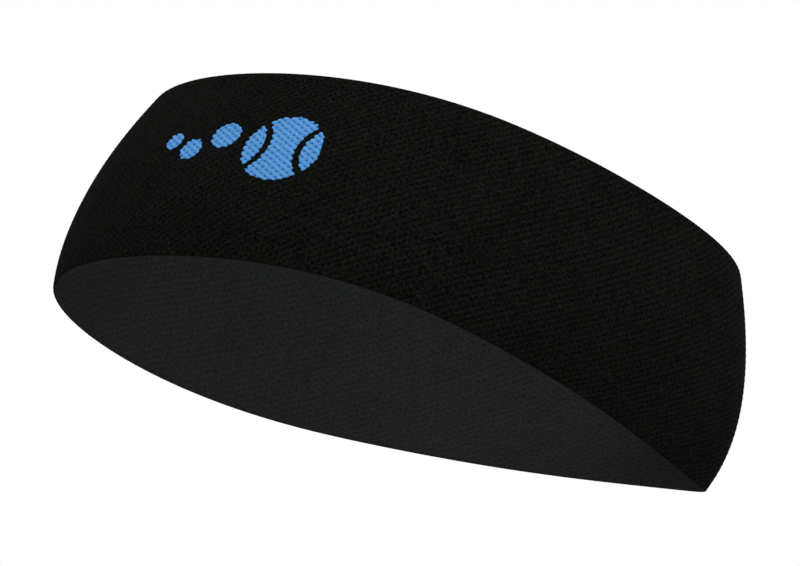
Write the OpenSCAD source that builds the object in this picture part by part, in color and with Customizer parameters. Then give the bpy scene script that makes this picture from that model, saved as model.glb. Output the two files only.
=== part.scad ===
// Two-layer knitted sports headband, held open as it sits on a head and standing on its lower rim.
// +X is the pointed end, where the lower rim is pinched, and -Y is the side with the motif.

/* [Band] */
// Length of the lower rim, from the blunt end to the pinched end
band_length = 205; // [180:1:220]
// Width of the lower rim as an oval, before its pinch and taper narrow it
band_width = 145; // [130:1:160]
// Height of the band
band_height = 63; // [50:1:75]

/* [Shape] */
// Length of the upper rim, as a share of the lower rim's
upper_length_share = 0.91; // [0.88:0.005:1]
// Width of the upper rim, as a share of the lower rim's
upper_width_share = 0.98; // [0.9:0.01:1]
// How far the upper rim stands towards the pinched end
upper_shift = 3.2; // [0:0.1:5]
// How far the wall swells out at mid height
swell = 5.8; // [2:0.1:7]
// How much more it swells at the pinched end
swell_more = 0.9; // [0:0.1:1.5]

/* [Cloth] */
// Thickness of the outer layer
outer_t = 0.9; // [0.7:0.1:1.2]
// Thickness of the lining
lining_t = 0.8; // [0.7:0.1:1.2]
// Gap between the two layers
layer_gap = 0.3; // [0.3:0.1:0.5]

/* [Edges] */
// Height of the turned welt on the outer face
welt_height = 2.0; // [1.8:0.1:3]
// Thickness of the welt's own cloth
welt_t = 0.4; // [0.3:0.05:0.5]
// Share of the room inside each welt that its elastic fills
elastic_fill = 0.8; // [0.5:0.05:0.9]
// Diameter of the linking seam's thread
thread_d = 0.16; // [0.1:0.02:0.2]

/* [Motif] */
// Diameter of the motif's ball
ball_d = 23; // [14:0.5:24]
// Diameter of the largest dot beside the ball
dot_d = 9; // [5:0.5:9]
// Width of the seam line across the ball
seam_w = 2; // [1:0.1:2.4]
// How far the motif's stitches stand out from the cloth
motif_proud = 0.3; // [0.2:0.05:0.5]

/* [Hidden] */
// Facets: steps round the band, and rows of them up the wall
steps_round = 96;
wall_rows = 8;

// The lower and the upper rim's own values, in pairs: taper towards the pinched end, the pinch
// itself, how far the blunt end is rounded off, and how much the -Y side is the fuller one.
taper = [0.53, 0.21];
pinch = [0.28, -0.14];
blunting = [0.44, 0.24];
fuller = [0.08, 0.04];
pinch_sharpness = 4;
// The swell is the stronger low down on the wall.
swell_low = 0.47;

wall_t = outer_t + layer_gap + lining_t;
clear = 0.05;
// How far a welt's rounded back would pass its rim, had the rim not been pressed level
welt_roll = 0.1;
// How far a welt's corners are rounded off, as a share of its cloth's thickness
welt_corner = 0.3;
// The welt turns in under the lining's edge and ends there.
lining_edge = welt_t + clear;

// The motif: where its middle is round the band and up it, and the depth of the block it is cut from.
motif_step = -36;
motif_steps_each_way = 6;
motif_z = 0.56 * band_height;
motif_reach = 40;
ball_x = 15.5;
// The ball's seam lines are parts of circles of its own diameter, this share of it to each side.
seam_offset = 0.72;
// The dots: place across and up from the motif's middle, and size as a share of the largest
dots = [[-4, 3, 1], [-14, -2, 0.8], [-22.5, 1.5, 0.65]];

// The yarn that runs behind the motif
float_t = 0.15;
float_h = 0.5;
float_pitch = 1.86;
float_rows = 5;

function mix(pair, w) = pair[0] + (pair[1] - pair[0]) * w;

// A point of the wall: turn is the angle round the band, w the height as a share of the band's,
// and depth how far in from the outer face.
function oval_x(turn, w, depth) =
    (band_length / 2 * mix([1, upper_length_share], w) - depth) * cos(turn) + upper_shift * w;

function oval_y(turn, w, depth) =
    (band_width / 2 * mix([1, upper_width_share], w) - depth) * sin(turn)
    * (1 - mix(pinch, w) * pow(max(cos(turn), 0), pinch_sharpness)
         - mix(blunting, w) * pow(max(-cos(turn), 0), 2)
         - mix(taper, w) * cos(turn))
    * (1 - mix(fuller, w) * sin(turn));

function swelling(turn, w) =
    4 * w * (1 - w) * (swell + swell_more * cos(turn)) * (1 - swell_low * (w - 0.5));

function out_direction(turn, w) =
    let (x = oval_x(turn, w, 0) / pow(band_length * mix([1, upper_length_share], w), 2),
         y = oval_y(turn, w, 0) / pow(band_width * mix([1, upper_width_share], w), 2))
    [x, y] / norm([x, y]);

function unplaced(turn, w, depth) =
    [oval_x(turn, w, depth), oval_y(turn, w, depth)] + swelling(turn, w) * out_direction(turn, w);

// The band's middle in plan, from the points of its outer face, goes to the origin.
face_points = [for (i = [0 : steps_round - 1], k = [0 : wall_rows * 4])
    unplaced(i * 360 / steps_round, k / (wall_rows * 4), 0)];
middle_x = (max([for (p = face_points) p.x]) + min([for (p = face_points) p.x])) / 2;
middle_y = (max([for (p = face_points) p.y]) + min([for (p = face_points) p.y])) / 2;

function wall_point(step, depth, z) =
    let (p = unplaced(step * 360 / steps_round, min(max(z / band_height, 0), 1), depth))
    [p.x - middle_x, p.y - middle_y, z];

// Sweeps a closed section, a list of [depth, z] points, along the steps from first to last.
// A whole turn closes on itself, and a shorter run is closed by a cap at each end.
module sweep(section, first = 0, last = steps_round) {
    n = len(section);
    whole = last - first >= steps_round;
    rings = whole ? steps_round : last - first + 1;
    points = [for (i = [0 : rings - 1], p = section) wall_point(first + i, p[0], p[1])];
    sides = [for (i = [0 : (whole ? rings : rings - 1) - 1], j = [0 : n - 1])
        let (a = i * n + j,
             b = i * n + (j + 1) % n,
             c = ((i + 1) % rings) * n + (j + 1) % n,
             d = ((i + 1) % rings) * n + j)
        each [[a, b, c], [a, c, d]]];
    caps = whole ? [] : [for (j = [1 : n - 2])
        each [[0, j + 1, j], [(rings - 1) * n, (rings - 1) * n + j, (rings - 1) * n + j + 1]]];
    polyhedron(points, concat(sides, caps), convexity = 6);
}

// The section of a layer of cloth between two depths and two heights. Its wall is divided into
// rows so that it follows the swell.
function layer(depth_out, depth_in, z_low, z_high, rows) =
    concat([for (k = [0 : rows]) [depth_out, z_low + (z_high - z_low) * k / rows]],
           [for (k = [rows : -1 : 0]) [depth_in, z_low + (z_high - z_low) * k / rows]]);

// The section of a round thread, as a polygon with its sides
function thread(depth, z, d, sides) =
    [for (k = [0 : sides - 1]) [depth - d / 2 * cos(k * 360 / sides), z + d / 2 * sin(k * 360 / sides)]];

// The section of a welt: cloth that comes down the outer face, turns in under the two layers with
// rounded corners, and ends level with the lining's inner face
function welt_section() =
    let (corner = welt_corner * welt_t)
    [
        [0, welt_height],
        [welt_t, welt_height],
        [welt_t, welt_t],
        [wall_t, welt_t],
        [wall_t, welt_t - corner],
        [wall_t - corner, corner],
        [wall_t - welt_t, -welt_roll],
        [welt_t, -welt_roll],
        [corner, corner],
        [0, welt_t - corner],
    ];

// The same section hung from the upper rim, run the other way round to keep its faces outward
function hung(section) =
    [for (k = [len(section) - 1 : -1 : 0]) [section[k][0], band_height - section[k][1]]];

shell_low = welt_height + clear;
shell_high = band_height - shell_low;
// The elastic lies between the welt's outer leg and the lining.
elastic_room = outer_t + layer_gap - welt_t;
elastic_d = elastic_room * elastic_fill;
elastic_depth = welt_t + elastic_room / 2;
elastic_z = welt_t + clear + elastic_d / 2;
linking_z = shell_low + thread_d;

module outer_shell() {
    color("#151614")
        sweep(layer(0, outer_t, shell_low, shell_high, wall_rows));
}

module inner_lining() {
    color("#1f2120")
        sweep(layer(outer_t + layer_gap, wall_t, lining_edge, band_height - lining_edge, wall_rows));
}

// Both rims are level: the backs of the welts are pressed flat, and the band stands on the lower one.
module pressed_level() {
    intersection() {
        children();
        translate([-band_length, -band_length, 0])
            cube([2 * band_length, 2 * band_length, band_height]);
    }
}

module lower_welt() {
    color("#0e0f0d")
        pressed_level()
            sweep(welt_section());
}

module upper_welt() {
    color("#0e0f0d")
        pressed_level()
            sweep(hung(welt_section()));
}

module lower_elastic() {
    color("#d8d4c8")
        sweep(thread(elastic_depth, elastic_z, elastic_d, 6));
}

module upper_elastic() {
    color("#d8d4c8")
        sweep(thread(elastic_depth, band_height - elastic_z, elastic_d, 6));
}

module lower_linking_thread() {
    color("#2a2b29")
        sweep(thread(outer_t + layer_gap / 2, linking_z, thread_d, 5));
}

module upper_linking_thread() {
    color("#2a2b29")
        sweep(thread(outer_t + layer_gap / 2, band_height - linking_z, thread_d, 5));
}

// The thin skin of raised stitches that the motif's figures are cut from
module motif_skin() {
    sweep(layer(-motif_proud, 0, shell_low, shell_high, wall_rows),
          motif_step - motif_steps_each_way, motif_step + motif_steps_each_way);
}

// Stands a flat figure in front of the motif's place, facing the wall, and pushes it through the skin.
module through_skin() {
    at = wall_point(motif_step, 0, motif_z);
    facing = out_direction(motif_step * 360 / steps_round, motif_z / band_height);
    translate([at.x, at.y, at.z])
        rotate([90, 0, atan2(facing.y, facing.x) + 90])
            translate([0, 0, -motif_reach / 2])
                linear_extrude(motif_reach)
                    children();
}

module seam_line(side) {
    translate([side * ball_d * seam_offset, 0])
        difference() {
            circle(d = ball_d + seam_w, $fn = 48);
            circle(d = ball_d - seam_w, $fn = 48);
        }
}

module ball_outline() {
    translate([ball_x, 0])
        difference() {
            circle(d = ball_d, $fn = 48);
            seam_line(-1);
            seam_line(1);
        }
}

module motif_ball() {
    color("#5c9fdd")
        intersection() {
            motif_skin();
            through_skin() ball_outline();
        }
}

module motif_dots() {
    color("#5c9fdd")
        intersection() {
            motif_skin();
            through_skin()
                for (dot = dots)
                    translate([dot[0], dot[1]])
                        circle(d = dot_d * dot[2], $fn = 32);
        }
}

module motif_floats() {
    middle = outer_t + layer_gap / 2;
    color("#4a86c4")
        for (row = [-float_rows : float_rows])
            sweep(layer(middle - float_t / 2, middle + float_t / 2,
                        motif_z + row * float_pitch - float_h / 2,
                        motif_z + row * float_pitch + float_h / 2, 1),
                  motif_step - motif_steps_each_way, motif_step + motif_steps_each_way);
}

outer_shell();
inner_lining();
lower_welt();
upper_welt();
lower_elastic();
upper_elastic();
lower_linking_thread();
upper_linking_thread();
motif_ball();
motif_dots();
motif_floats();
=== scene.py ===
"""Looks of a two-layer knitted sports headband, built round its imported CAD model.

Everything is in metres, in the model's own frame: the band stands on z = 0, +X is its pinched
end and -Y the side with the motif. The wall's shape is read from the CAD cloth, and the knitted
surfaces are built on it stitch by stitch.
"""
import math

import bpy
import numpy as np
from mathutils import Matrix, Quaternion, Vector


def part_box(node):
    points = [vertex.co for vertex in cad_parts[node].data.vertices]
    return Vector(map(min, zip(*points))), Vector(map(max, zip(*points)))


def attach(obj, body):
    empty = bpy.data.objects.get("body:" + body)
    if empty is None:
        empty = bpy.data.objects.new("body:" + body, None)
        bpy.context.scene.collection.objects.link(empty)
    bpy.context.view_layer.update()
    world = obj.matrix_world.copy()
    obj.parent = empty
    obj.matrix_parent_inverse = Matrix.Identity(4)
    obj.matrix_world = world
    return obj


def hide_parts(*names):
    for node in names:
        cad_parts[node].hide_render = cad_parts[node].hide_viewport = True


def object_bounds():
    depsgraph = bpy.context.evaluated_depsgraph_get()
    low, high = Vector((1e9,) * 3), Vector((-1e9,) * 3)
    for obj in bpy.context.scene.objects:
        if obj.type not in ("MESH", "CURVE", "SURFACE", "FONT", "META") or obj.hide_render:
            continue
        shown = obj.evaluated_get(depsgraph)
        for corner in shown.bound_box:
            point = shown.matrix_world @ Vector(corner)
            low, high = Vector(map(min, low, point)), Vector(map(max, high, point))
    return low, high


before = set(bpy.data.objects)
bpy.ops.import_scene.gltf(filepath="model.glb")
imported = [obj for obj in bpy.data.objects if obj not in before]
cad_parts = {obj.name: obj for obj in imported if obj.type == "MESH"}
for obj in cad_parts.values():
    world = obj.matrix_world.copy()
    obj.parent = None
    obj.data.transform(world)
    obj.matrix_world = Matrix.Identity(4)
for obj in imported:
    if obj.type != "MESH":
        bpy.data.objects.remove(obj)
cad_low, cad_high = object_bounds()
scene = bpy.context.scene

MM = 0.001

# The knit: the width of a wale and the height of a course. Mounds and dimples take turns along
# both, so the pattern repeats every two wales and every two courses, and faint ridges run through
# the mounds.
WALE = 1.5 * MM
COURSE = 1.02 * MM
LINING_WALE = 1.9 * MM
LINING_COURSE = 1.08 * MM
STEPS = 2  # columns to a wale and rows to a course of the cloth's mesh
# How far the wales lean back against the way round, for each unit they rise
OUTER_LEAN = 0.17
LINING_LEAN = -0.22
OUTER_RELIEF = {"dimple": 0.13 * MM, "mound": 0.06 * MM, "ridge": 0.022 * MM}
LINING_RELIEF = {"dimple": 0.12 * MM, "mound": 0.03 * MM, "ridge": 0.012 * MM}
UNEVEN = 0.4  # how much one dimple's depth differs from the next
EDGE_COURSE = 0.5  # the course at which the outer cloth's lower edge lies
BACK_ROWS = 7  # rows of the hidden back of a cloth
SHARP = math.radians(60)  # edges that turn further than this stay sharp

# Depths from the outer face, as in the CAD
OUTER_BACK = 0.9 * MM
LINING_BACK = 1.2 * MM
LINING_FACE = 2.0 * MM
WELT_CLOTH = 0.4 * MM

# The rims: radius of the welt's fold, height of the lining's rolled edge, the gap that keeps the
# two off each other, and the height over which the knit's relief fades into the fold.
WELT_ROLL = 0.35 * MM
LINING_ROLL = 0.45 * MM
RIM_GAP = 0.05 * MM
ROLL_FADE = 0.3 * MM
WELT_TUCK = 0.35 * MM  # how far the welt runs up behind the outer cloth
WELT_TUCK_DEPTH = 0.3 * MM  # how close behind the outer face it ends there
WELT_END = 0.5 * MM  # the depth at which the turned-in welt ends and meets the lining

# Rows of mesh round a rolled edge, down the welt's outside and across its underside
ROLL_ROWS = 5
WELT_SIDE_ROWS = 3
WELT_UNDER_ROWS = 2

# Camera: how far it stands from the point that it looks at, where that point is from the box's
# middle, its angles in degrees and its lens in mm.
CAMERA_DISTANCE = 0.8925
CAMERA_TARGET = Vector((-0.0058, 0.0051, 0.0015))
CAMERA_AZIMUTH = -8.79
CAMERA_ELEVATION = -18.70
CAMERA_ROLL = 15.35
CAMERA_LENS = 133.88
CAMERA_CLIP = (0.01, 100.0)  # the nearest and the farthest that it sees

# Lights: place, size across and watts
KEY_LIGHT = ((0.0, -1.2, 1.3), 0.9, 3.5)
FILL_LIGHT = ((1.1, 0.1, 1.0), 1.2, 1.5)
SKY = (1, 1, 1)

FLOOR_HALF = 12.0  # half of its side
FLOOR_DROP = 0.05 * MM  # how far it lies under the band, so that the two don't meet

# Colours, linear. Each shade colour is painted shade: the knits' dimples and ridge valleys and the
# grooves between windings are darkened towards it.
OUTER_YARN = (0.0066, 0.0072, 0.0060)
OUTER_PAINTED_SHADE = (0.0010, 0.0012, 0.0012)
LINING_YARN = (0.0222, 0.0243, 0.0236)
LINING_PAINTED_SHADE = (0.0058, 0.0062, 0.0088)
WELT_YARN = (0.0066, 0.0072, 0.0058)
WELT_PAINTED_SHADE = (0.0010, 0.0012, 0.0010)
MOTIF_YARN = (0.104, 0.322, 0.670)
MOTIF_PAINTED_SHADE = (0.012, 0.035, 0.230)
ELASTIC_YARN = (0.620, 0.600, 0.550)
ELASTIC_PAINTED_SHADE = (0.340, 0.320, 0.280)
THREAD_YARN = (0.0120, 0.0125, 0.0115)
THREAD_PAINTED_SHADE = (0.0040, 0.0042, 0.0040)
# The colour of the pale specks scattered over the knits
PALE_SPECK = (0.300, 0.300, 0.280)
FLOOR = (0.30, 0.30, 0.305)
FLOOR_GLOW = (0.50, 0.50, 0.505)  # what the floor passes on of the light under it

# How a knit shows its yarn: how much painted shade darkens its dimples and the lines between its
# ridges, how much the tone varies from place to place and from tuft to tuft, how much the colour
# does, and which way the ridges climb, -1 from lower left to upper right and 1 the other way.
OUTER_LOOK = {
    "painted_dimple_shade": 0.68, "painted_valley_shade": 0.12, "mottle": 0.2, "speckle": 1.2, "tint": 0.8, "slope": -1,
}
LINING_LOOK = {
    "painted_dimple_shade": 0.35, "painted_valley_shade": 0.05, "mottle": 0.12, "speckle": 0.45, "tint": 0.5, "slope": -1,
}
MOTIF_LOOK = {
    "painted_dimple_shade": 0.6, "painted_valley_shade": 0.15, "mottle": 0.06, "speckle": 0.3, "tint": 0.15, "slope": 1,
}

# Windings in a metre of the covered elastic, the thread and the floats' yarn
ELASTIC_TURNS = 3000
THREAD_TURNS = 2500
FLOAT_TURNS = 1500

SEED = 8  # of the differences between one dimple and the next
rng = np.random.default_rng(SEED)


# ---------------------------------------------------------------- the wall, read from the frame

RING_GAP = 0.1 * MM  # corners of one ring differ less than this in height
SAME_POINT = 0.01 * MM  # corners nearer to each other than this are one
FACING = 0.4  # the least that a facet of a face turns to or from the middle axis


def rings_of(node, sign):
    """The rings of corners on the face of a CAD layer that looks outward (1) or inward (-1).

    Each is (height, shares of the way round from the +X axis, points in plan), and it runs on
    for two corners past each end, so that a curve through it closes.
    """
    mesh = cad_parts[node].data
    chosen = set()
    for face in mesh.polygons:
        radial = Vector((face.center.x, face.center.y, 0)).normalized()
        if sign * face.normal.dot(radial) > FACING:
            chosen.update(face.vertices)
    corners = np.array([mesh.vertices[i].co for i in sorted(chosen)])
    corners = corners[np.argsort(corners[:, 2])]
    found = []
    for ring in np.split(corners, np.flatnonzero(np.diff(corners[:, 2]) > RING_GAP) + 1):
        turn = np.arctan2(ring[:, 1], ring[:, 0]) % math.tau
        plan = ring[np.argsort(turn), :2]
        step = np.linalg.norm(plan - np.roll(plan, 1, axis=0), axis=1)
        plan, step = plan[step > SAME_POINT], step[step > SAME_POINT]
        # The way from the +X axis to the first corner
        first = step[0] * plan[0, 1] / (plan[0, 1] - plan[-1, 1])
        share = (np.cumsum(step) - step[0] + first) / step.sum()
        share = np.concatenate([share[-2:] - 1, share, share[:2] + 1])
        found.append((ring[0, 2], share, np.concatenate([plan[-2:], plan, plan[:2]])))
    return found


def along_ring(ring, share):
    """Points on the smooth closed curve through a ring's corners, at shares of the way round"""
    _, at, plan = ring
    slope = np.gradient(plan, axis=0) / np.gradient(at)[:, None]
    share = share % 1
    i = np.searchsorted(at, share, side="right") - 1
    gap = (at[i + 1] - at[i])[:, None]
    t = (share - at[i])[:, None] / gap
    return (
        (1 + 2 * t) * (1 - t) ** 2 * plan[i]
        + t * (1 - t) ** 2 * gap * slope[i]
        + t**2 * (3 - 2 * t) * plan[i + 1]
        + t**2 * (t - 1) * gap * slope[i + 1]
    )


def on_face(rings, share, z):
    """Points in plan on one face of the wall, by the polynomial in height through its rings"""
    heights = np.array([ring[0] for ring in rings])
    total = np.zeros((len(z), 2))
    for k, ring in enumerate(rings):
        others = np.delete(heights, k)
        weight = np.prod((z[:, None] - others) / (heights[k] - others), axis=1)
        total += weight[:, None] * along_ring(ring, share)
    return total


OUTER_RINGS = rings_of("outer_shell", 1)
INNER_RINGS = rings_of("inner_lining", -1)
SHELL_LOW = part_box("outer_shell")[0].z
SHELL_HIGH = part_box("outer_shell")[1].z
HEIGHT = cad_high.z

# Gentle unevenness of the soft wall: waves as (how far, waves round the band, start of the wave)
WAVES = [(0.22 * MM, 5, 0.7), (0.16 * MM, 9, 2.1), (0.10 * MM, 14, 4.0)]
WAVE_SLANT = 2  # how far a wave shifts from rim to rim, in radians

# Places at which the wall is measured or searched
LENGTH_PLACES = 2000
HEIGHT_PLACES = 40
SEARCH_PLACES = 20000


def unevenness(share, z):
    """How far the wall stands out at places: most at mid height, and nothing at the rims"""
    rise = z / HEIGHT
    total = 0
    for size, count, start in WAVES:
        total += size * np.sin(math.tau * count * share + start + WAVE_SLANT * rise)
    return total * 4 * rise * (1 - rise)


def on_wall(share, z, depth):
    """Points of the wall, from shares of the way round, heights and depths in from the outer face"""
    share, z, depth = np.broadcast_arrays(share, z, depth)
    s, h = share.ravel(), z.ravel()
    d = (depth.ravel() - unevenness(s, h))[:, None] / LINING_FACE
    outside, inside = on_face(OUTER_RINGS, s, h), on_face(INNER_RINGS, s, h)
    plan = outside + (inside - outside) * d
    return np.concatenate([plan, h[:, None]], axis=1).reshape(share.shape + (3,))


def length_round(depth, z):
    """The way round the wall at a depth and a height"""
    line = on_wall(np.arange(LENGTH_PLACES) / LENGTH_PLACES, z, depth)
    return float(np.linalg.norm(line - np.roll(line, 1, axis=0), axis=1).sum())


def height_up(depth, z_low, z_high):
    """The way up the wall, as a mean over the whole band"""
    around = np.arange(HEIGHT_PLACES) / HEIGHT_PLACES
    share, z = np.meshgrid(around, np.linspace(z_low, z_high, HEIGHT_PLACES))
    line = on_wall(share, z, depth)
    return float(np.linalg.norm(np.diff(line, axis=0), axis=2).sum(0).mean())


def whole_even(number):
    """The nearest even number, because the knit repeats every two wales and every two courses"""
    return 2 * round(number / 2)


OUTER_ROUND = length_round(0.0, HEIGHT / 2)
LINING_ROUND = length_round(LINING_FACE, HEIGHT / 2)
OUTER_UP = height_up(0.0, SHELL_LOW, SHELL_HIGH)
LINING_UP = height_up(LINING_FACE, LINING_ROLL, HEIGHT - LINING_ROLL)
OUTER_WALES = whole_even(OUTER_ROUND / WALE)
LINING_WALES = whole_even(LINING_ROUND / LINING_WALE)
OUTER_COURSES = whole_even(OUTER_UP / COURSE)
LINING_COURSES = whole_even(LINING_UP / LINING_COURSE)


# ---------------------------------------------------------------- meshes


def smooth_mesh(name, points, faces, knit):
    """An object from points and faces, with its wales and courses as its UV map"""
    mesh = bpy.data.meshes.new(name)
    mesh.from_pydata(points.tolist(), [], faces.tolist())
    layer = mesh.uv_layers.new(name="knit")
    layer.data.foreach_set("uv", knit.astype(np.float32).ravel())
    mesh.shade_smooth()
    mesh.set_sharp_from_angle(angle=SHARP)
    mesh.validate()
    piece = bpy.data.objects.new(name, mesh)
    scene.collection.objects.link(piece)
    return piece


def facing(grid, closed):
    """Which way a grid of points faces. Its rows run up the wall and its columns along it, all the
    way round if it is closed."""
    if closed:
        across = np.roll(grid, -1, axis=1) - np.roll(grid, 1, axis=1)
    else:
        across = np.gradient(grid, axis=1)
    normal = np.cross(across, np.gradient(grid, axis=0))
    return normal / np.linalg.norm(normal, axis=2, keepdims=True)


def leaning(lean, z):
    """How far back the wales have leant at a height, as a share of the way round"""
    return lean * (z - HEIGHT / 2) / OUTER_ROUND


def swept(name, wales, lean, z, depth, relief, row_course):
    """A closed strip of cloth: a section, given as heights and depths, swept round the band.

    relief is how far the first rows, the ones that show, stand out from the wall, and row_course
    is the course that each row of the section belongs to.
    """
    columns = wales * STEPS
    share = np.arange(columns)[None, :] / columns - leaning(lean, z[:, None])
    grid = on_wall(share, z[:, None], depth[:, None])
    shown = len(relief)
    grid[:shown] += facing(grid[:shown], closed=True) * relief[..., None]
    rows = len(z)
    i, j = (x.ravel() for x in np.meshgrid(np.arange(rows), np.arange(columns), indexing="ij"))
    up, on = (i + 1) % rows, (j + 1) % columns
    this_row, next_row = i * columns, up * columns
    faces = np.stack([this_row + j, this_row + on, next_row + on, next_row + j], axis=1)
    wale = np.stack([j, j + 1, j + 1, j], axis=1) / STEPS
    course = row_course[np.stack([i, i, up, up], axis=1)]
    return smooth_mesh(name, grid.reshape(-1, 3), faces, np.stack([wale, course], axis=2))


def chequer(wale, course):
    """The knit's chequerboard: 1 on top of its mounds and -1 in its dimples"""
    return np.cos(math.pi * wale) * np.cos(math.pi * course)


def way_along(z, depth):
    """How far along a section each of its points lies"""
    return np.concatenate([[0], np.cumsum(np.hypot(np.diff(z), np.diff(depth)))])


def mesh_wales(wales):
    """The wale that each column of a cloth's mesh lies on"""
    return np.arange(wales * STEPS)[None, :] / STEPS


def knit_relief(wale, course, sizes):
    """How far the knit stands out at places counted in wales and courses"""
    weave = chequer(wale, course)
    ridge = sizes["ridge"] * np.cos(math.pi * (wale - course))
    mound = sizes["mound"] * np.maximum(weave, 0)
    depth = sizes["dimple"] * (1 + UNEVEN * rng.standard_normal(weave.shape))
    return mound + ridge - depth * np.maximum(-weave, 0)


def outer_cloth():
    """The outer layer. Its courses count from a half, so that at its edges, where the welts carry
    the pattern on, the mounds and dimples level out."""
    rows = OUTER_COURSES * STEPS + 1
    course = EDGE_COURSE + np.arange(rows) / STEPS
    face_z = np.linspace(SHELL_LOW, SHELL_HIGH, rows)
    z = np.concatenate([face_z, np.linspace(SHELL_HIGH, SHELL_LOW, BACK_ROWS)])
    depth = np.concatenate([np.zeros(rows), np.full(BACK_ROWS, OUTER_BACK)])
    row_course = np.concatenate([course, np.linspace(course[-1], course[0], BACK_ROWS)])
    relief = knit_relief(mesh_wales(OUTER_WALES), course[:, None], OUTER_RELIEF)
    return swept("outer_cloth", OUTER_WALES, OUTER_LEAN, z, depth, relief, row_course)


def lining_cloth():
    """The lining, whose edges roll out at both rims until they meet the turned-in welts.

    Its section runs down the face from the upper rim to the lower one, and back up behind it.
    """
    rows = LINING_COURSES * STEPS + 1
    bend = np.linspace(0, math.pi / 2, ROLL_ROWS)
    roll_depth = LINING_FACE - (LINING_FACE - WELT_END - RIM_GAP) * (1 - np.cos(bend))
    roll_rise = LINING_ROLL * (1 - np.sin(bend)) + RIM_GAP
    face_z = np.linspace(HEIGHT - roll_rise[0], roll_rise[0], rows)
    face_depth = np.full(rows, LINING_FACE)
    step = WELT_CLOTH + RIM_GAP
    back_z = np.concatenate([[step], np.linspace(step, HEIGHT - step, BACK_ROWS), [HEIGHT - step]])
    back_depth = np.full(BACK_ROWS + 2, LINING_BACK)
    back_depth[[0, -1]] = roll_depth[-1]
    z = np.concatenate([HEIGHT - roll_rise[:0:-1], face_z, roll_rise[1:], back_z])
    depth = np.concatenate([roll_depth[:0:-1], face_depth, roll_depth[1:], back_depth])
    course = way_along(z, depth) / LINING_COURSE
    shown = rows + 2 * (ROLL_ROWS - 1)
    whole_step = np.round(course[:shown, None] * STEPS) / STEPS
    relief = knit_relief(mesh_wales(LINING_WALES), whole_step, LINING_RELIEF)
    relief *= np.clip(np.minimum(z, HEIGHT - z)[:shown, None] / ROLL_FADE, 0, 1)
    return swept("lining_cloth", LINING_WALES, LINING_LEAN, z, depth, relief, course)


def welt_section():
    """A welt at the lower rim, as heights and depths, and how many of its rows show.

    Those come first: on from the outer cloth's edge, down and round under the wall. The hidden
    side follows, and it runs up behind the outer cloth.
    """
    side = np.linspace(SHELL_LOW, WELT_ROLL, WELT_SIDE_ROWS + 1)[:-1]
    bend = np.linspace(0, math.pi / 2, ROLL_ROWS)
    under = np.linspace(WELT_ROLL, WELT_END, WELT_UNDER_ROWS + 1)[1:]
    z = [side, WELT_ROLL * (1 - np.sin(bend)), np.zeros(WELT_UNDER_ROWS)]
    depth = [np.zeros(WELT_SIDE_ROWS), WELT_ROLL * (1 - np.cos(bend)), under]
    hidden = [
        (WELT_CLOTH, WELT_END),
        (WELT_CLOTH, WELT_CLOTH),
        (SHELL_LOW + WELT_TUCK, WELT_CLOTH),
        (SHELL_LOW + WELT_TUCK, WELT_TUCK_DEPTH),
    ]
    shown = WELT_SIDE_ROWS + ROLL_ROWS + WELT_UNDER_ROWS
    z = np.concatenate(z + [[height for height, _ in hidden]])
    depth = np.concatenate(depth + [[inward for _, inward in hidden]])
    return z, depth, shown


def welt(name, upper):
    """The cloth turned over a rim. It carries on the outer cloth's wales and courses."""
    z, depth, shown = welt_section()
    courses = way_along(z, depth) / COURSE
    fade = np.clip(z[:shown] / ROLL_FADE, 0, 1)
    if upper:
        course = EDGE_COURSE + OUTER_COURSES + courses
        z = HEIGHT - z
    else:
        course = EDGE_COURSE - courses
    relief = knit_relief(mesh_wales(OUTER_WALES), course[:shown, None], OUTER_RELIEF)
    relief *= fade[:, None]
    if not upper:
        # Run the section the other way, so that the strip faces outward.
        z, depth, course = (np.roll(row[::-1], shown) for row in (z, depth, course))
        relief = relief[::-1]
    return swept(name, OUTER_WALES, OUTER_LEAN, z, depth, relief, course)


# ---------------------------------------------------------------- materials


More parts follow.
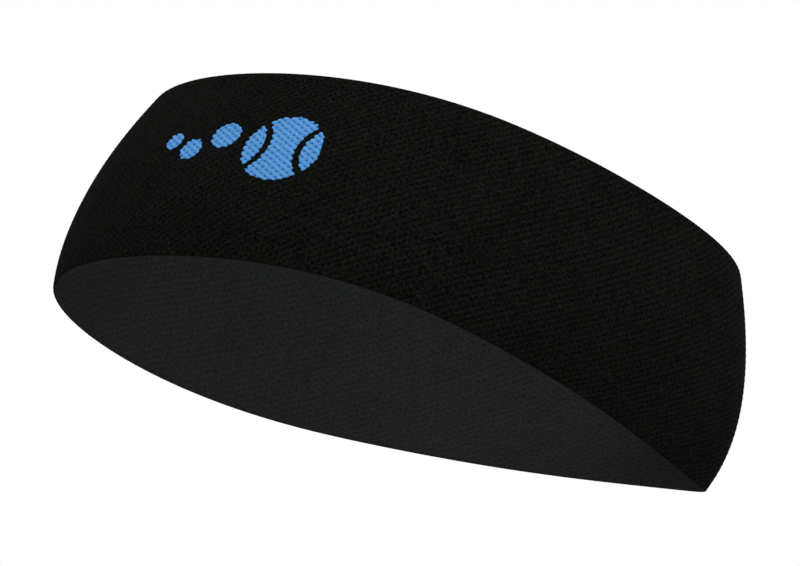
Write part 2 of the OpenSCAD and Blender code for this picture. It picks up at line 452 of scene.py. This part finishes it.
class Nodes:
    """A material's node tree, built by short calls that return sockets"""

    def __init__(self, name):
        self.material = bpy.data.materials.new(name)
        self.material.use_nodes = True
        self.tree = self.material.node_tree
        self.shader = self.tree.nodes["Principled BSDF"]

    def node(self, kind, **values):
        made = self.tree.nodes.new(kind)
        for key, value in values.items():
            setattr(made, key, value)
        return made

    def put(self, value, socket):
        if isinstance(value, bpy.types.NodeSocket):
            self.tree.links.new(value, socket)
        else:
            socket.default_value = value

    def maths(self, operation, first, second=None, third=None, clamp=False):
        made = self.node("ShaderNodeMath", operation=operation, use_clamp=clamp)
        for value, socket in zip((first, second, third), made.inputs):
            if value is not None:
                self.put(value, socket)
        return made.outputs[0]

    def noise(self, where, scale, detail=2.0):
        made = self.node("ShaderNodeTexNoise")
        self.put(where, made.inputs["Vector"])
        made.inputs["Scale"].default_value = scale
        made.inputs["Detail"].default_value = detail
        return made.outputs["Fac"]

    def mixed(self, factor, first, second, blend="MIX"):
        made = self.node("ShaderNodeMix", data_type="RGBA", blend_type=blend)
        self.put(factor, made.inputs["Factor"])
        for value, socket in ((first, made.inputs["A"]), (second, made.inputs["B"])):
            sockets = [s for s in made.inputs if s.name == socket.name and s.type == "RGBA"]
            self.put((*value, 1) if isinstance(value, tuple) else value, sockets[0])
        return [s for s in made.outputs if s.type == "RGBA"][0]

    def ranged(self, value, low, high):
        """A value spread so that 0 becomes low and 1 becomes high"""
        return self.maths("MULTIPLY_ADD", value, high - low, low)

    def wave(self, angle):
        """A cosine wave from 0 to 1"""
        return self.ranged(self.maths("COSINE", angle), 0.5, 1)

    def here(self):
        """Places on the object, in metres"""
        return self.node("ShaderNodeTexCoord").outputs["Object"]

    def times(self, colour, factor):
        """A colour multiplied by another"""
        return self.mixed(1.0, colour, factor, "MULTIPLY")

    def grey(self, value):
        """The colour whose red, green and blue are all one value"""
        made = self.node("ShaderNodeCombineColor")
        for socket in made.inputs:
            self.put(value, socket)
        return made.outputs[0]

    def finish(self, colour, roughness, height, bump, distance):
        """Fills in the shader, with the height as its bump, and gives the material"""
        shader = self.shader
        self.put(colour, shader.inputs["Base Color"])
        self.put(roughness, shader.inputs["Roughness"])
        shader.inputs["Specular IOR Level"].default_value = GLOSS
        made = self.node("ShaderNodeBump")
        made.inputs["Strength"].default_value = bump
        made.inputs["Distance"].default_value = distance
        self.put(height, made.inputs["Height"])
        self.tree.links.new(made.outputs["Normal"], shader.inputs["Normal"])
        return self.material


GLOSS = 0.005  # the specular level of the yarns: dry, matte fibres
FUZZ_SCALE = 2600  # fibres, about 0.4 mm
GRAIN_SCALE = 1300  # tufts of yarn, about 0.8 mm
STREAK_SCALE = 420  # uneven yarn, about 2.4 mm
MOTTLE_SCALE = 55  # broad unevenness, about 18 mm
BROAD_DETAIL = 3  # octaves of a knit's uneven yarn and broad unevenness
HUES = (0.6, 0.55, 1.0)  # how much the yarns' red, green and blue vary from tuft to tuft
DARKEST = 0.2  # the least that a tone keeps of the yarn's colour

DIMPLE_LEAN = 0.12  # how far a dimple leans, in wales
DIMPLE_NARROW = 4  # how narrow and how short it is: powers of a cosine
DIMPLE_SHORT = 1.5
DIMPLE_SPREAD = 0.8  # how much the painted shade in one dimple differs from the next
PLIES = 4  # plies that show across each ridge

SPECK_SCALE = 160  # pale specks, one to about 6 mm
SPECK_SIZE = 0.035  # their radius, as a share of that
SPECK_SHOWS = 0.06  # how much of their own colour shows

# The bump of a knit: shares of its plies, fibres and dimples, then its strength and height
PLY_BUMP = 0.35
FUZZ_BUMP = 0.5
DIMPLE_BUMP = 0.8
KNIT_BUMP = (0.6, 0.12 * MM)
KNIT_ROUGHNESS = (0.82, 1.0)

# Wound yarn: how far from the middle axis it lies, how much of its own colour shows between the
# lines of painted shade where windings meet, how its tone varies, and its bump and roughness
WOUND_RADIUS = 0.09
WOUND_SHOWS = 0.8
WOUND_TONE = (0.85, 1.15)
WOUND_FUZZ = 0.3  # the fibres' share of the bump
WOUND_BUMP = (0.5, 0.06 * MM)
WOUND_ROUGHNESS = (0.7, 0.9)

# The floor's paper
PAPER_SCALE = 3  # patches of about 0.3 m
PAPER_TONE = (0.98, 1.02)
PAPER_ROUGHNESS = 0.9
PAPER_GLOSS = 0.1


def dimples(n, wale, course):
    """Narrow, upright dimples on a chequerboard of wales and courses: 1 in their middles"""
    lean = n.maths("MULTIPLY", n.maths("SINE", n.maths("MULTIPLY", course, math.pi)), DIMPLE_LEAN)
    across = n.maths("COSINE", n.maths("MULTIPLY", n.maths("ADD", wale, lean), math.pi))
    up = n.maths("COSINE", n.maths("MULTIPLY", course, math.pi))
    apart = n.maths("MULTIPLY", n.maths("MULTIPLY", across, up), -1)
    sunk = n.maths("GREATER_THAN", apart, 0)
    narrow = n.maths("POWER", n.maths("ABSOLUTE", across), DIMPLE_NARROW)
    short = n.maths("POWER", n.maths("ABSOLUTE", up), DIMPLE_SHORT)
    return n.maths("MULTIPLY", n.maths("MULTIPLY", narrow, short), sunk)


def uneven_tone(n, here, fuzz, mottle, speckle):
    """A grey factor that varies from place to place and from tuft to tuft"""
    broad = n.noise(here, MOTTLE_SCALE, BROAD_DETAIL)
    grain = n.noise(here, GRAIN_SCALE)
    tone = n.ranged(broad, 1 - mottle, 1 + mottle)
    for noise in (grain, fuzz):
        tone = n.maths("ADD", tone, n.ranged(noise, -speckle, speckle))
    return n.grey(n.maths("MAXIMUM", tone, DARKEST))


def uneven_hue(n, here, tint):
    """Factors of red, green and blue that vary from tuft to tuft"""
    tufts = n.node("ShaderNodeTexNoise")
    n.put(here, tufts.inputs["Vector"])
    tufts.inputs["Scale"].default_value = GRAIN_SCALE
    hue = n.node("ShaderNodeVectorMath", operation="MULTIPLY_ADD")
    n.put(tufts.outputs["Color"], hue.inputs[0])
    hue.inputs[1].default_value = [2 * tint * share for share in HUES]
    hue.inputs[2].default_value = [1 - tint * share for share in HUES]
    return hue.outputs[0]


def with_pale_specks(n, here, colour):
    """A colour with a few pale specks on it"""
    cells = n.node("ShaderNodeTexVoronoi")
    n.put(here, cells.inputs["Vector"])
    cells.inputs["Scale"].default_value = SPECK_SCALE
    speck = n.maths("LESS_THAN", cells.outputs["Distance"], SPECK_SIZE)
    return n.mixed(n.maths("MULTIPLY", speck, SPECK_SHOWS), colour, PALE_SPECK)


def knit_material(name, yarn, shade, painted_dimple_shade, painted_valley_shade, mottle, speckle, tint, slope):
    """Knitted cloth, from its yarn's colour, the colour of the painted shade in its dimples and
    valleys, and a look as at the top
    """
    n = Nodes(name)
    here = n.here()
    split = n.node("ShaderNodeSeparateXYZ")
    n.put(n.node("ShaderNodeUVMap", uv_map="knit").outputs[0], split.inputs[0])
    wale, course = split.outputs[0], split.outputs[1]

    fuzz = n.noise(here, FUZZ_SCALE)
    streak = n.noise(here, STREAK_SCALE, BROAD_DETAIL)
    dimple = dimples(n, wale, course)
    slant = n.maths("MULTIPLY", n.maths("MULTIPLY_ADD", course, slope, wale), math.pi)
    valley_shade = n.ranged(n.maths("COSINE", slant), painted_valley_shade, 0)
    ply = n.wave(n.maths("MULTIPLY", slant, PLIES))

    # Painted shade: the dimples and the lines between the ridges are darkened towards the shade
    # colour, by varying amounts
    least, most = (1 - DIMPLE_SPREAD) * painted_dimple_shade, (1 + DIMPLE_SPREAD) * painted_dimple_shade
    dimple_shade = n.maths("MULTIPLY", dimple, n.ranged(streak, least, most))
    colour = n.mixed(n.maths("ADD", dimple_shade, valley_shade, clamp=True), yarn, shade)
    colour = n.times(colour, uneven_tone(n, here, fuzz, mottle, speckle))
    colour = n.times(colour, uneven_hue(n, here, tint))
    colour = with_pale_specks(n, here, colour)

    height = n.maths("MULTIPLY_ADD", ply, PLY_BUMP, n.maths("MULTIPLY", fuzz, FUZZ_BUMP))
    height = n.maths("SUBTRACT", height, n.maths("MULTIPLY", dimple, DIMPLE_BUMP))
    return n.finish(colour, n.ranged(fuzz, *KNIT_ROUGHNESS), height, *KNIT_BUMP)


def wound_material(name, yarn, shade, turns):
    """Yarn wound round a core, or a twisted thread. turns is the windings in a metre."""
    n = Nodes(name)
    here = n.here()
    split = n.node("ShaderNodeSeparateXYZ")
    n.put(here, split.inputs[0])
    round_band = n.maths("ARCTAN2", split.outputs[1], split.outputs[0])
    along = n.maths("MULTIPLY", round_band, WOUND_RADIUS * math.tau * turns)
    lean = n.maths("MULTIPLY", split.outputs[2], math.tau * turns)
    winding = n.wave(n.maths("ADD", along, lean))
    fuzz = n.noise(here, FUZZ_SCALE)
    tone = n.ranged(n.noise(here, STREAK_SCALE), *WOUND_TONE)
    # Painted shade: the grooves where the windings meet are darkened towards the shade colour
    colour = n.mixed(n.maths("MULTIPLY", winding, WOUND_SHOWS), shade, yarn)
    colour = n.times(colour, n.grey(tone))
    height = n.maths("MULTIPLY_ADD", fuzz, WOUND_FUZZ, winding)
    return n.finish(colour, n.ranged(fuzz, *WOUND_ROUGHNESS), height, *WOUND_BUMP)


def floor_material():
    """A pale frosted sheet that lets some light through. It shows from above only, so that the
    band can be seen from below."""
    n = Nodes("floor_paper")
    tone = n.ranged(n.noise(n.here(), PAPER_SCALE), *PAPER_TONE)
    n.put(n.times(FLOOR, n.grey(tone)), n.shader.inputs["Base Color"])
    n.shader.inputs["Roughness"].default_value = PAPER_ROUGHNESS
    n.shader.inputs["Specular IOR Level"].default_value = PAPER_GLOSS
    from_below = n.node("ShaderNodeNewGeometry").outputs["Backfacing"]
    through = n.node("ShaderNodeBsdfTranslucent")
    through.inputs["Color"].default_value = (*FLOOR_GLOW, 1)
    sheet = n.node("ShaderNodeAddShader")
    n.put(n.shader.outputs[0], sheet.inputs[0])
    n.put(through.outputs[0], sheet.inputs[1])
    mix = n.node("ShaderNodeMixShader")
    n.put(from_below, mix.inputs[0])
    n.put(sheet.outputs[0], mix.inputs[1])
    n.put(n.node("ShaderNodeBsdfTransparent").outputs[0], mix.inputs[2])
    n.put(mix.outputs[0], n.tree.nodes["Material Output"].inputs["Surface"])
    return n.material


def wear(piece, material):
    """Puts one material on a new piece or on a CAD node"""
    if piece.material_slots:
        for each in piece.material_slots:
            each.material = material
    else:
        piece.data.materials.append(material)


# ---------------------------------------------------------------- camera, light and floor


def add_camera():
    """The camera, at the photograph's viewing angle"""
    azimuth, elevation = math.radians(CAMERA_AZIMUTH), math.radians(CAMERA_ELEVATION)
    back = Vector((
        math.sin(azimuth) * math.cos(elevation),
        -math.cos(azimuth) * math.cos(elevation),
        math.sin(elevation),
    ))
    data = bpy.data.cameras.new("camera")
    data.lens = CAMERA_LENS
    data.clip_start, data.clip_end = CAMERA_CLIP
    camera = bpy.data.objects.new("camera", data)
    camera.location = (cad_low + cad_high) / 2 + CAMERA_TARGET + back * CAMERA_DISTANCE
    camera.rotation_mode = "QUATERNION"
    level = (-back).to_track_quat("-Z", "Y")
    camera.rotation_quaternion = level @ Quaternion((0, 0, 1), math.radians(CAMERA_ROLL))
    scene.collection.objects.link(camera)
    scene.camera = camera


def add_light(name, place, size, watts):
    """A round soft light, aimed at the middle of the band"""
    middle = Vector((0, 0, HEIGHT / 2))
    data = bpy.data.lights.new(name, "AREA")
    data.shape = "DISK"
    data.size = size
    data.energy = watts
    light = bpy.data.objects.new(name, data)
    light.location = place
    light.rotation_mode = "QUATERNION"
    light.rotation_quaternion = (middle - Vector(place)).to_track_quat("-Z", "Y")
    scene.collection.objects.link(light)


def add_sky():
    """An even white all round, as behind the band in the photograph"""
    world = bpy.data.worlds.new("studio")
    world.use_nodes = True
    sky = world.node_tree.nodes["Background"]
    sky.inputs["Color"].default_value = (*SKY, 1)
    sky.inputs["Strength"].default_value = 1.0
    scene.world = world
    scene.view_settings.view_transform = "Standard"


def add_floor():
    """The floor that the band stands on"""
    mesh = bpy.data.meshes.new("floor")
    signs = ((-1, -1), (1, -1), (1, 1), (-1, 1))
    corners = [(x * FLOOR_HALF, y * FLOOR_HALF, -FLOOR_DROP) for x, y in signs]
    mesh.from_pydata(corners, [], [(0, 1, 2, 3)])
    floor = bpy.data.objects.new("floor", mesh)
    scene.collection.objects.link(floor)
    wear(floor, floor_material())


# ---------------------------------------------------------------- the motif

MOTIF_PROUD = 0.30 * MM  # how far its loops stand out from the cloth
MOTIF_SUNK = -0.4 * MM  # where its edge ends, inside the cloth
MOTIF_BACK = 0.6 * MM  # how deep its back lies
LOOP_SHARE = 0.45  # how much of the motif's rise comes and goes from loop to loop
SCALLOP = 0.35 * MM  # how far the loops at its edge reach out past the figure's outline
EDGE_SLOPE = 1.5  # how steeply it goes down into the cloth there
MOTIF_REACH = (18, 14)  # wales and courses to each side of its middle that the motif may cover
MOTIF_COLUMNS = 8  # columns of its mesh to a wale
MOTIF_ROWS = 6  # rows to a course

# Its figures, as in the CAD. Places are to the right of and above the motif's middle.
BALL_DIAMETER = 23 * MM
BALL_X = 15.5 * MM
SEAM_WIDTH = 2.0 * MM
SEAM_OFFSET = 0.72  # how far to each side a seam's arc has its middle, in diameters of the ball
DOT_DIAMETER = 9 * MM
DOT_SIZES = (1.0, 0.8, 0.65)  # each dot's, as a share of that
DOT_SPREAD = ((-4 * MM, 3 * MM), (-14 * MM, -2 * MM), (-22.5 * MM, 1.5 * MM))


def nearest_share(x, y, z):
    """The share of the way round at which the outer face passes nearest to a point"""
    share = np.arange(SEARCH_PLACES) / SEARCH_PLACES
    line = on_wall(share, z, 0.0)
    return float(share[np.argmin(np.hypot(line[:, 0] - x, line[:, 1] - y))])


def motif_middle():
    """The motif's middle as a wale and a course, from the box of the CAD ball"""
    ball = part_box("motif_ball")
    z = (ball[0].z + ball[1].z) / 2
    right = nearest_share(ball[1].x, ball[0].y, z)
    middle = right - (BALL_X + BALL_DIAMETER / 2) / OUTER_ROUND + leaning(OUTER_LEAN, z)
    rise = (z - SHELL_LOW) / (SHELL_HIGH - SHELL_LOW)
    return middle * OUTER_WALES, EDGE_COURSE + rise * OUTER_COURSES


def ball_margin(x, y):
    """How far inside the ball a point is: within its outline and off its two seam lines"""
    radius = BALL_DIAMETER / 2
    margin = radius - np.hypot(x - BALL_X, y)
    for side in (-1, 1):
        from_seam = np.hypot(x - BALL_X - side * SEAM_OFFSET * BALL_DIAMETER, y) - radius
        margin = np.minimum(margin, np.abs(from_seam) - SEAM_WIDTH / 2)
    return margin


def dots_margin(x, y):
    """How far inside the nearest of the three dots a point is"""
    return np.max([
        DOT_DIAMETER / 2 * size - np.hypot(x - dot_x, y - dot_y)
        for size, (dot_x, dot_y) in zip(DOT_SIZES, DOT_SPREAD)
    ], axis=0)


def stitched_figure(name, margin_at):
    """A figure knitted in blue: a raised loop on each mound of the cloth that lies inside it.

    The loops make one surface that bulges over each loop, dips between them and, round the
    figure's edge, goes down into the cloth. A back closes it inside the cloth.
    """
    middle_wale, middle_course = motif_middle()
    wales, courses = MOTIF_REACH
    right = np.arange(2 * wales * MOTIF_COLUMNS + 1)[None, :] / MOTIF_COLUMNS
    up = np.arange(2 * courses * MOTIF_ROWS + 1)[:, None] / MOTIF_ROWS
    wale = round(middle_wale) - wales + right
    course = round(middle_course) - courses + up
    y = (course - middle_course) * COURSE
    x = (wale - middle_wale) * WALE - OUTER_LEAN * y

    weave = chequer(wale, course)
    loops = MOTIF_PROUD * (1 - LOOP_SHARE + LOOP_SHARE * weave)
    edge = EDGE_SLOPE * (margin_at(x, y) + SCALLOP * weave)
    rise = np.maximum(np.minimum(loops, edge), MOTIF_SUNK)

    z = SHELL_LOW + (SHELL_HIGH - SHELL_LOW) * (course - EDGE_COURSE) / OUTER_COURSES
    flat = on_wall(wale / OUTER_WALES - leaning(OUTER_LEAN, z), z, 0.0)
    normal = facing(flat, closed=False)
    top = flat + normal * rise[..., None]
    back = flat - normal * MOTIF_BACK
    shown = rise > MOTIF_SUNK
    cells = shown[:-1, :-1] | shown[1:, :-1] | shown[:-1, 1:] | shown[1:, 1:]
    return plate(name, top, back, cells, wale, course)


def outline(quads):
    """The edges that belong to one quad only"""
    edges = {}
    for quad in quads.tolist():
        for a, b in zip(quad, quad[1:] + quad[:1]):
            if (b, a) in edges:
                del edges[(b, a)]
            else:
                edges[(a, b)] = True
    return list(edges)


def plate(name, top, back, cells, wale, course):
    """A closed piece between two grids of points, over the cells that are marked"""
    rows, columns = top.shape[:2]
    number = np.arange(rows * columns).reshape(rows, columns)
    corners = [number[:-1, :-1], number[:-1, 1:], number[1:, 1:], number[1:, :-1]]
    quads = np.stack(corners, axis=-1)[cells]
    behind = rows * columns
    rim = [[b, a, a + behind, b + behind] for a, b in outline(quads)]
    faces = np.concatenate([quads, quads[:, ::-1] + behind, rim])
    points = np.concatenate([top.reshape(-1, 3), back.reshape(-1, 3)])
    used, faces = np.unique(faces, return_inverse=True)
    faces = faces.reshape(-1, 4)
    knit = np.stack(np.broadcast_arrays(wale, course), axis=-1).reshape(-1, 2)
    knit = np.concatenate([knit, knit])[used]
    return smooth_mesh(name, points[used], faces, knit[faces])


# ---------------------------------------------------------------- putting it together


def main():
    add_camera()
    add_sky()
    add_light("key", *KEY_LIGHT)
    add_light("fill", *FILL_LIGHT)
    add_floor()

    outer_knit = knit_material("outer_knit", OUTER_YARN, OUTER_PAINTED_SHADE, **OUTER_LOOK)
    lining_knit = knit_material("lining_knit", LINING_YARN, LINING_PAINTED_SHADE, **LINING_LOOK)
    welt_knit = knit_material("welt_knit", WELT_YARN, WELT_PAINTED_SHADE, **OUTER_LOOK)
    motif_yarn = knit_material("motif_yarn", MOTIF_YARN, MOTIF_PAINTED_SHADE, **MOTIF_LOOK)
    covered_elastic = wound_material("covered_elastic", ELASTIC_YARN, ELASTIC_PAINTED_SHADE, ELASTIC_TURNS)
    linking_thread = wound_material("linking_thread", THREAD_YARN, THREAD_PAINTED_SHADE, THREAD_TURNS)
    float_yarn = wound_material("float_yarn", MOTIF_YARN, MOTIF_PAINTED_SHADE, FLOAT_TURNS)

    pieces = [
        (outer_cloth(), outer_knit, "outer_knit", "outer_shell"),
        (lining_cloth(), lining_knit, "lining_knit", "inner_lining"),
        (welt("lower_welt_fold", False), welt_knit, "welt_knit", "lower_welt"),
        (welt("upper_welt_fold", True), welt_knit, "welt_knit", "upper_welt"),
        (stitched_figure("ball_stitches", ball_margin), motif_yarn, "motif_yarn", "motif_ball"),
        (stitched_figure("dot_stitches", dots_margin), motif_yarn, "motif_yarn", "motif_dots"),
    ]
    for piece, material, slot, node in pieces:
        wear(piece, material)
        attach(piece, "root")
        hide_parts(node)

    for node, material in (
        ("lower_elastic", covered_elastic),
        ("upper_elastic", covered_elastic),
        ("lower_linking_thread", linking_thread),
        ("upper_linking_thread", linking_thread),
        ("motif_floats", float_yarn),
    ):
        wear(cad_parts[node], material)


main()
